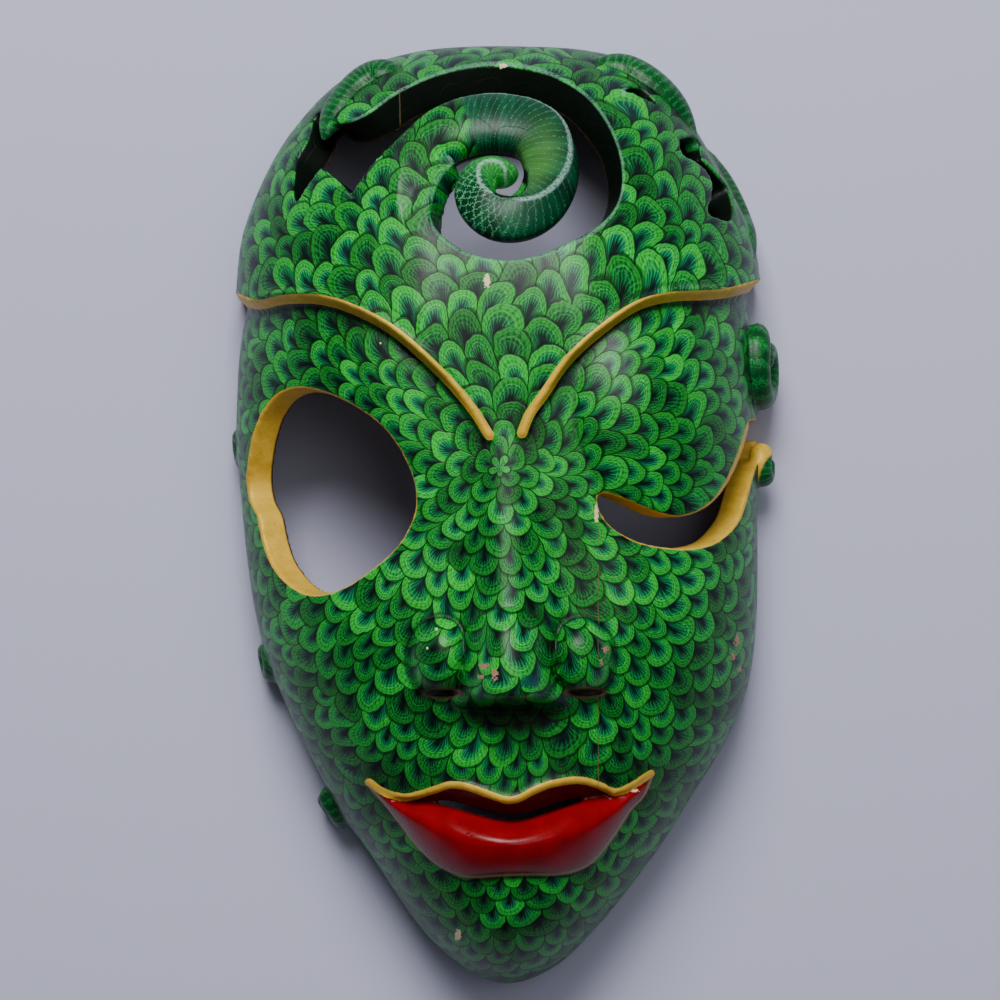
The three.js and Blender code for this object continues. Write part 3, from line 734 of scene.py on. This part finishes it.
# How far each corner sits below its eased neighbours: plus in hollows and creases, which the paint
# darkens as painted shade, minus on crests.
ends = np.empty(2 * len(mask.data.edges), int)
mask.data.edges.foreach_get("vertices", ends)
first, second = ends.reshape(-1, 2).T
neighbours = (np.bincount(first, minlength=len(points))
              + np.bincount(second, minlength=len(points)))
normals = np.empty(3 * len(points))
mask.data.vertices.foreach_get("normal", normals)
eased = points.copy()
for _ in range(EASING_ROUNDS):
    total = [np.bincount(first, eased[second, k], len(points))
             + np.bincount(second, eased[first, k], len(points)) for k in range(3)]
    eased = np.stack(total, axis=1) / neighbours[:, None]
write_field(mask, "cavity", np.sum((eased - points) * normals.reshape(-1, 3), axis=1))

volute_t, volute_s, volute_gap = near_spine(points, volute_spine, volute_lift,
                                            series(VOLUTE_WIDTH))
on_volute = volute_gap < VOLUTE_NEAR
crest_gap = volute_s - series(VOLUTE_CREST)(volute_t)
write_field(mask, "volute", volute_t, crest_gap, on_volute.astype(float))

on_horn = np.zeros(len(points))
horn_t = np.zeros(len(points))
horn_s = np.zeros(len(points))
for spine, width in horn_spines:
    lift = on_dome(*set_out(spine))[1]
    t, s, gap = near_spine(points, spine, lift, width)
    mine = (gap < HORN_NEAR) & (depth > 0.35) & (inward > 3)
    on_horn = np.where(mine, 1.0, on_horn)
    horn_t = np.where(mine, t, horn_t)
    horn_s = np.where(mine, s, horn_s)
write_field(mask, "horns", horn_t, horn_s, on_horn)

# --- Paint ----------------------------------------------------------------------------------
# Gloss paint brushed on in layers: dark teal ground, every scale fanned in green with a fine
# brush, gold edges, red lips, all under a worn clear varnish.

paint = bpy.data.materials.new("scaled_gloss_paint")
paint.use_nodes = True
tree = paint.node_tree
shader = tree.nodes["Principled BSDF"]


class Value:
    """A number worked out in the paint's nodes."""

    def __init__(self, socket):
        self.socket = socket

    def __add__(self, other):
        return math_node("ADD", self, other)

    def __radd__(self, other):
        return math_node("ADD", other, self)

    def __sub__(self, other):
        return math_node("SUBTRACT", self, other)

    def __rsub__(self, other):
        return math_node("SUBTRACT", other, self)

    def __mul__(self, other):
        return math_node("MULTIPLY", self, other)

    def __rmul__(self, other):
        return math_node("MULTIPLY", other, self)

    def __truediv__(self, other):
        return math_node("DIVIDE", self, other)


def feed(socket, value):
    if isinstance(value, Value):
        tree.links.new(value.socket, socket)
    elif value is not None:
        socket.default_value = value


def math_node(kind, a, b=None):
    node = tree.nodes.new("ShaderNodeMath")
    node.operation = kind
    for socket, value in zip(node.inputs, (a, b)):
        feed(socket, value)
    return Value(node.outputs[0])


def above(value, low, high):
    """0 below low, 1 above high, eased between."""
    node = tree.nodes.new("ShaderNodeMapRange")
    node.interpolation_type = "SMOOTHSTEP"
    feed(node.inputs["Value"], value)
    feed(node.inputs["From Min"], low)
    feed(node.inputs["From Max"], high)
    return Value(node.outputs["Result"])


def below(value, low, high):
    return 1 - above(value, low, high)


def stripe(value, centre, half):
    """1 on a line at centre, fading out to half its width on each side."""
    return below(math_node("ABSOLUTE", value - centre), half * 0.35, half)


def largest(*values):
    total = values[0]
    for value in values[1:]:
        total = math_node("MAXIMUM", total, value)
    return total


def blend(factor, first, second):
    """The first colour, going over to the second as factor goes from 0 to 1."""
    node = tree.nodes.new("ShaderNodeMix")
    node.data_type = "RGBA"
    feed(node.inputs[0], factor)
    for socket, value in ((node.inputs[6], first), (node.inputs[7], second)):
        feed(socket, value if isinstance(value, Value) else (*value, 1))
    return Value(node.outputs[2])


def shade(colour, value):
    """A colour made lighter or darker by a number."""
    node = tree.nodes.new("ShaderNodeVectorMath")
    node.operation = "SCALE"
    feed(node.inputs[0], colour)
    feed(node.inputs["Scale"], value)
    return Value(node.outputs[0])


def field(name):
    """The three numbers of the paint map under a name."""
    node = tree.nodes.new("ShaderNodeAttribute")
    node.attribute_name = name
    split = tree.nodes.new("ShaderNodeSeparateXYZ")
    tree.links.new(node.outputs["Vector"], split.inputs[0])
    return [Value(socket) for socket in split.outputs]


def join(x, y, z=0.0):
    node = tree.nodes.new("ShaderNodeCombineXYZ")
    for socket, value in zip(node.inputs, (x, y, z)):
        feed(socket, value)
    return Value(node.outputs[0])


position = Value(tree.nodes.new("ShaderNodeTexCoord").outputs["Object"])


def noise(size, detail=2.0, where=None):
    """Cloudy noise from 0 to 1. size is in millimetres unless a place is given."""
    node = tree.nodes.new("ShaderNodeTexNoise")
    feed(node.inputs["Vector"], where or position)
    feed(node.inputs["Scale"], 1000.0 / size if where is None else 1.0 / size)
    feed(node.inputs["Detail"], detail)
    return Value(node.outputs["Fac"])


def chance(x, y, z=0.0):
    """Three random numbers that depend only on the given ones."""
    node = tree.nodes.new("ShaderNodeTexWhiteNoise")
    node.noise_dimensions = "3D"
    feed(node.inputs["Vector"], join(x, y, z))
    split = tree.nodes.new("ShaderNodeSeparateColor")
    tree.links.new(node.outputs["Color"], split.inputs[0])
    return [Value(socket) for socket in split.outputs]


row_x, row_y, spread = field("scale_rows")
brow_line, eye_edge, crown_edge = field("edges")
lip_edge, lip_top, over_seam = field("mouth")
deep, inner, _ = field("wood")
cavity, _, _ = field("cavity")
plan_x, plan_y, brow_side = field("plan")
volute_run, volute_off_crest, volute_part = field("volute")
horn_run, horn_across, horn_part = field("horns")

plan = join(plan_x, plan_y)


def spot(x, y, wide, tall):
    """Distance from a place on the paint, 1 at the edge of an oval round it."""
    shift = tree.nodes.new("ShaderNodeVectorMath")
    shift.operation = "MULTIPLY_ADD"
    feed(shift.inputs[0], plan)
    shift.inputs[1].default_value = (1 / wide, 1 / tall, 0)
    shift.inputs[2].default_value = (-x / wide, -y / tall, 0)
    size = tree.nodes.new("ShaderNodeVectorMath")
    size.operation = "LENGTH"
    tree.links.new(shift.outputs[0], size.inputs[0])
    return Value(size.outputs["Value"])


def smallest(values):
    total = values[0]
    for value in values[1:]:
        total = math_node("MINIMUM", total, value)
    return total


FIRST_RING = 5.0
RING_GROWTH = 1.3
VOLUTE_BARE = 0.39
SCALE_REACH, SCALE_REACH_SPREAD = 0.74, 0.32

DARKEST_GROUND, TEAL_GROUND = (0.0, 0.005, 0.003), (0.0, 0.016, 0.014)
BOTTLE_GREEN, SEA_GREEN = (0.0, 0.07, 0.006), (0.0, 0.07, 0.038)
DEEP_GREEN, LEAF_GREEN = (0.0, 0.2, 0.001), (0.004, 0.33, 0.01)
OUTLINE_BLACK = (0.0, 0.006, 0.002)
LIP_DARK, LIP_RED = (0.14, 0.0, 0.002), (0.3, 0.001, 0.006)
DULL_GOLD, BRIGHT_GOLD = (0.5, 0.28, 0.01), (0.85, 0.55, 0.07)
PINK_GESSO, CREAM_GESSO = (0.4, 0.2, 0.14), (0.75, 0.62, 0.36)
DARK_WOOD, LIGHT_WOOD = (0.03, 0.014, 0.008), (0.06, 0.03, 0.016)

waver = noise(24, 1.0) - 0.5
waver_too = noise(21, 1.0) - 0.5
tremble = noise(3.5, 1.0) - 0.5
rows_out = math_node("SQRT", row_x * row_x + row_y * row_y) + waver * 1.3 + tremble * 0.16
turn_share = math_node("ARCTAN2", row_y, row_x) / (2 * math.pi) + 0.5


def scale_row(j, seed):
    """One ring of scales: place across the scale and its random numbers."""
    wanted = largest(j * 3.75 - 1.2, FIRST_RING)
    band = math_node("ROUND", math_node("LOGARITHM", wanted / FIRST_RING, RING_GROWTH))
    count = math_node("ROUND", math_node("POWER", RING_GROWTH, band) * FIRST_RING)
    offset, _, _ = chance(j, seed)
    stagger = math_node("MODULO", j, 2.0) * 0.5
    place = turn_share * count + stagger + offset * 0.3 + waver_too * 1.3 + tremble * 0.12 + count
    index = math_node("MODULO", math_node("FLOOR", place), count)
    across = math_node("FRACT", place) * 2 - 1
    luck = chance(index, j, seed)
    return across, luck


def half_round(across, reach):
    return math_node("SQRT", largest(1 - across * across, 0.0)) * reach


top_row = math_node("CEIL", rows_out) - 1
low_row = math_node("CEIL", rows_out)
top_across, top_luck = scale_row(top_row, 3.0)
low_across, low_luck = scale_row(low_row, 3.0)
top_reach = top_luck[0] * SCALE_REACH_SPREAD + SCALE_REACH
low_reach = low_luck[0] * SCALE_REACH_SPREAD + SCALE_REACH
past_edge = rows_out - top_row - half_round(top_across, top_reach)
on_top = below(past_edge, -0.012, 0.012)


def pick(top, low):
    return top * on_top + low * (1 - on_top)


def fan(rows_past, across, reach):
    """Distance out from a scale's root, 1 at its rim, and the angle about the root."""
    rise = largest(rows_past, 0.0) / reach
    out = math_node("SQRT", rise * rise + across * across)
    return out, math_node("ARCTAN2", across, rows_past + 0.85)


top_out, top_angle = fan(rows_out - top_row, top_across, top_reach)
low_out, low_angle = fan(rows_out - low_row, low_across, low_reach)
out = pick(top_out, low_out)
angle = pick(top_angle, low_angle)
luck = [pick(a, b) for a, b in zip(top_luck, low_luck)]
covered = (1 - on_top) * below(past_edge, 0.0, 0.3)

brush = noise(1.1, 3.0)
strokes = noise(0.16, 2.0, where=join(angle, luck[1] * 40, out * 0.12))
bristle = math_node("SINE", angle * 42 + luck[2] * 20 + strokes * 6) * 0.5 + 0.5
fine = noise(0.6, 2.0)
arc_place = out + (brush - 0.5) * 0.1 + (bristle - 0.5) * 0.02
arcs = largest(stripe(arc_place, luck[1] * 0.1 + 0.42, 0.05) * 0.55,
               stripe(arc_place, luck[2] * 0.08 + 0.6, 0.055),
               stripe(arc_place, luck[0] * 0.06 + 0.76, 0.045) * 0.8)
ragged = out + (bristle - 0.5) * 0.07 + (strokes - 0.5) * 0.1
body = above(ragged, 0.1, 0.42)
bright = above(ragged + luck[1] * 0.2, 0.52, 0.92)
ground = blend(luck[2], DARKEST_GROUND, TEAL_GROUND)
middle = blend(luck[1], BOTTLE_GREEN, SEA_GREEN)
green = blend(luck[0], DEEP_GREEN, LEAF_GREEN)
scales = blend(body * 0.9, ground, middle)
scales = blend(bright * (luck[2] * 0.35 + 0.65), scales, green)
hairs = above(bristle, 0.55, 0.9) * above(out, 0.05, 0.35) * (1.0 - bright * 0.5)
scales = blend(hairs * 0.6, scales, (0.01, 0.28, 0.06))
dark_hairs = below(bristle, 0.05, 0.35) * above(out, 0.4, 0.75)
scales = blend(dark_hairs * 0.55, scales, (0.0, 0.03, 0.004))
scales = blend(arcs * above(fine, 0.3, 0.6) * 0.75, scales, (0.04, 0.45, 0.06))
rim = stripe(out, 0.92, 0.055)
scales = blend(rim * 0.4, scales, (0.03, 0.42, 0.04))
outline = above(out + (brush - 0.5) * 0.05, 0.94, 0.985)
scales = blend(outline * 0.92, scales, OUTLINE_BLACK)
scales = shade(scales, (luck[1] * 0.9 + 0.45) * (1 - covered * 0.85))
# Painted shade: the scales are darker towards the sides and chin and lighter near the middle.
scales = shade(scales, 1.15 - above(spread, 60.0, 135.0) * 0.35)
# Painted shade under the brow's hood, under the nose and in a band above the lips.
shade_under_brow = above(brow_side, -11.0, -1.0) * below(brow_side, -0.5, 0.5)
shade_under_nose = below(spot(1.6, -60.5, 27, 6.5), 0.35, 1.0)
shade_over_lips = below(lip_top, 1.5, 10.0)
shadows = (1 - shade_under_brow * 0.55) * (1 - shade_under_nose * 0.85) * (1 - shade_over_lips * 0.5)
scales = shade(scales, shadows)
# Painted shade in the hollows and creases of the carving.
scales = shade(scales, 1 - above(cavity, 0.05, 0.4) * 0.75)
# Paler green in patches on the raised crests.
pale_crest = above(cavity, -0.45, -0.9) * above(fine, 0.35, 0.6)
scales = blend(pale_crest * 0.3, scales, (0.12, 0.4, 0.2))

# hairs on the volute and the small horns
swirl = noise(0.035, 2.0, where=join(volute_run, volute_off_crest * 0.004, 0.0))
net = math_node("ABSOLUTE", math_node("SINE", volute_run * 260 + volute_off_crest * 5 + fine * 3))
counter_net = math_node("ABSOLUTE", math_node("SINE", volute_run * 230 - volute_off_crest * 7
                                              + fine * 3))
net_lines = largest(below(net, 0.04, 0.22), below(counter_net, 0.04, 0.22))
inside_slope = above(volute_off_crest, 0.0, 0.9)
tipward = above(volute_run, 0.74, 0.9)
horn_paint = blend(above(swirl, 0.35, 0.65), (0.0, 0.022, 0.01), (0.001, 0.07, 0.028))
inner_turn = inside_slope * above(volute_run, 0.5, 0.62) * below(volute_run, 0.72, 0.85)
horn_paint = blend(inner_turn * (swirl * 0.8 + 0.1), horn_paint, (0.07, 0.22, 0.03))
horn_paint = blend(below(net, 0.02, 0.3) * above(fine, 0.35, 0.6) * 0.5, horn_paint,
                   (0.06, 0.4, 0.16))
horn_paint = blend(net_lines * tipward * 0.7, horn_paint, (0.2, 0.7, 0.3))
horn_paint = blend(above(volute_run, 0.88, 0.95) * 0.5, horn_paint, (0.02, 0.36, 0.02))
# A painted highlight along the volute's crest.
painted_crest_highlight = stripe(volute_off_crest, 0.0, 0.16) * above(fine, 0.25, 0.6)
horn_paint = blend(painted_crest_highlight * 0.6, horn_paint, (0.32, 0.55, 0.45))
bare = volute_part * above(volute_run + (fine - 0.5) * 0.02, VOLUTE_BARE, VOLUTE_BARE + 0.012)
colour = blend(bare, scales, horn_paint)

leaf_hair = math_node("ABSOLUTE", math_node("SINE", horn_run * 60 + fine * 4 + horn_across * 2))
leaf_paint = blend(above(leaf_hair, 0.1, 0.6), (0.01, 0.2, 0.04), (0.0, 0.05, 0.01))
colour = blend(horn_part * 0.85, colour, leaf_paint)

# sawn walls, lips, gold, bare wood
in_wall = above(deep, 0.5, 0.9) * above(inner, 0.3, 0.6) * (1 - volute_part) * (1 - horn_part)
near_crown = below(crown_edge, 2.0, 3.5) * above(spot(-19.5, 90, 12, 17), 0.85, 1.0)
# A pale line, broken by noise, along the crown's sawn edges: a painted edge highlight together with
# worn paint.
crown_edge_wear_and_highlight = stripe(crown_edge, 0.35, 0.9) * above(fine, 0.3, 0.5)
crown_edge_wear_and_highlight = crown_edge_wear_and_highlight * (1 - volute_part) * below(deep, 0.8, 1.2)
crown_edge_wear_and_highlight = crown_edge_wear_and_highlight * above(plan_x, -48.0, -44.0) * below(plan_x, 36.5, 38.0)
colour = blend(crown_edge_wear_and_highlight * 0.4, colour, (0.16, 0.45, 0.26))
crown_black = blend(above(fine, 0.6, 0.8) * 0.3, (0.0015, 0.004, 0.002), (0.004, 0.02, 0.01))
colour = blend(in_wall * near_crown, colour, crown_black)

lip_red = blend(noise(6, 2.0), LIP_DARK, LIP_RED)
# Painted shade: the upper lip above the seam is painted a much darker red. The lips are also darker
# red just inside their outline.
lip_red = blend(above(over_seam, -1.6, 0.6) * 0.85, lip_red, (0.045, 0.0005, 0.001))
lip_red = blend(below(lip_edge, -1.6, -0.3), (0.1, 0.004, 0.004), lip_red)
on_lips = below(lip_edge, -0.35, -0.1)
colour = blend(on_lips, colour, lip_red)
colour = blend(stripe(lip_edge, 0.15, 0.5) * 0.8, colour, (0.45, 0.2, 0.09))

gold_tone = blend(noise(3.2, 3.0), DULL_GOLD, BRIGHT_GOLD)
gold_tone = blend(above(fine, 0.62, 0.75) * 0.5, gold_tone, (0.16, 0.08, 0.01))
wobble = (noise(2.4, 2.0) - 0.5) * 0.5
gold_brow = below(brow_line + wobble * 0.4, 1.35, 1.6)
gold_lip = below(lip_top + wobble, 1.0, 1.25)
eye_wall = below(eye_edge, 1.6, 2.6) * above(deep, 0.3, 0.55) * above(inner, 0.3, 0.7)
gold_rim = below(eye_edge + wobble, 0.35, 0.6)
gold = largest(gold_brow, gold_lip, eye_wall, gold_rim)
gold = gold * below(deep, 9.0, 9.5)
colour = blend(gold, colour, gold_tone)

PINK_CHIPS = [(-5.6, -45.2, 1.5, 0.8), (-6.9, -48.6, 1.0, 0.7), (-2.6, -47.6, 0.9, 1.7),
              (70.2, -38, 0.9, 1.4), (69, -42.6, 0.7, 1.1), (71, -46.4, 0.6, 0.9),
              (30.6, -40.2, 0.8, 1.2), (29.4, -44, 0.5, 0.9)]
CREAM_CHIPS = [(-4.8, 70.2, 0.95, 2.0), (0, 134.6, 1.2, 0.8), (-20.1, -34.2, 0.4, 0.4),
               (-22.8, -39.9, 0.4, 0.4), (-36.9, 51.6, 0.35, 0.35), (-13.5, -126.3, 1.0, 1.8),
               (39.6, -82.8, 1.2, 0.5), (28, 0.6, 0.6, 3.0)]
ragged_edge = (fine - 0.5) * 2.4 + (brush - 0.5) * 2.4
pink_chips = below(smallest([spot(*chip) for chip in PINK_CHIPS]) + ragged_edge, 0.85, 1.0)
cream_spots = smallest([spot(*chip) for chip in CREAM_CHIPS])
cream_chips = below(cream_spots + ragged_edge * 0.6, 0.9, 1.0)
retouch = below(spot(8.2, -49.8, 3.4, 2.4) + ragged_edge * 0.3, 0.7, 1.0)
colour = blend(retouch * 0.8, colour, (0.0, 0.03, 0.055))
crack_sway = (noise(14, 3.0) - 0.5) * 2.2
crack_x = math_node("ABSOLUTE", plan_x - 28.6 - crack_sway)
crack = below(crack_x, 0.06, 0.2) * above(plan_y, -83.0, -80.0) * below(plan_y, 2.0, 5.0)
crack = crack * above(noise(5, 2.0), 0.38, 0.5)
arch_crack_x = math_node("ABSOLUTE", plan_x + 30.9 - crack_sway * 0.5)
arch_crack = below(arch_crack_x, 0.06, 0.25) * above(plan_y, 116.0, 118.0)
cracks = largest(crack, arch_crack * below(plan_y, 127.0, 129.0))
colour = blend(cracks * 0.8, colour, (0.12, 0.09, 0.035))
colour = blend(pink_chips, colour, PINK_GESSO)
colour = blend(cream_chips, colour, CREAM_GESSO)
# The nostril grooves are painted near-black as painted shade inside them, with a reddish-brown rim
# painted round each.
nostrils, nostril_rims = [
    below(smallest([spot(-18.4, -53.4, wide, tall), spot(24.6, -53.2, wide + 0.4, tall)]), 0.7, 1.0)
    for wide, tall in ((5.8, 1.3), (6.8, 2.2))]
colour = blend(nostril_rims * 0.7, colour, (0.16, 0.06, 0.04))
colour = blend(nostrils, colour, (0.004, 0.001, 0.001))

inside = below(inner, 0.5, 1.2)
bare_wood = blend(noise(7, 3.0), DARK_WOOD, LIGHT_WOOD)
colour = blend(inside, colour, bare_wood)

feed(shader.inputs["Base Color"], colour)
roughness = 0.3 - on_lips * 0.12 + fine * 0.16 + inside * 0.35 + gold * 0.08
roughness = roughness + (noise(30, 2.0) - 0.5) * 0.1
feed(shader.inputs["Roughness"], roughness)
shader.inputs["IOR"].default_value = 1.3
feed(shader.inputs["Metallic"], gold * (1 - inside) * 0.12)

relief = (1 - outline) * 0.5 + bristle * 0.06 + brush * 0.12
relief = relief * (1 - on_lips) * (1 - gold) * (1 - inside)
relief = relief + fine * 0.1 + inside * noise(2.0) * 0.6
bump = tree.nodes.new("ShaderNodeBump")
bump.inputs["Distance"].default_value = 0.00016
bump.inputs["Strength"].default_value = 0.55
feed(bump.inputs["Height"], relief)
tree.links.new(bump.outputs[0], shader.inputs["Normal"])

mask.data.materials.clear()
mask.data.materials.append(paint)

# --- Floor, light and camera ----------------------------------------------------------------
bpy.ops.object.select_all(action="DESELECT")
bpy.ops.mesh.primitive_plane_add(size=6, location=(0, 0, -0.0005))
floor = bpy.context.object
floor.name = "floor"
paper = bpy.data.materials.new("grey_paper")
paper.use_nodes = True
sheet = paper.node_tree.nodes["Principled BSDF"].inputs
sheet["Base Color"].default_value = (0.5, 0.5, 0.66, 1)
sheet["Roughness"].default_value = 0.9
floor.data.materials.append(paper)

room = bpy.context.scene.world or bpy.data.worlds.new("room")
bpy.context.scene.world = room
room.use_nodes = True
air = room.node_tree.nodes["Background"].inputs
air["Color"].default_value = (0.78, 0.8, 0.9, 1)
air["Strength"].default_value = 0.12

for name, place, size, energy in (("key", (-0.1, 0.85, 1.1), 0.6, 24),
                                 ("fill", (0.5, 0.3, 1.5), 1.0, 5)):
    bpy.ops.object.light_add(type="AREA", location=place)
    lamp = bpy.context.object
    lamp.name = name
    lamp.data.size = size
    lamp.data.energy = energy
    lamp.rotation_euler = (-Vector(place)).to_track_quat("-Z", "Y").to_euler()

FILM_WIDTH, SIGHT_TO_RIM, FIELD_WIDTH = 36, 0.84, 0.3
bpy.ops.object.camera_add(location=(-0.0009, 0.0042, SIGHT_HEIGHT * MM))
camera = bpy.context.object
camera.data.lens = FILM_WIDTH * SIGHT_TO_RIM / FIELD_WIDTH
bpy.context.scene.camera = camera
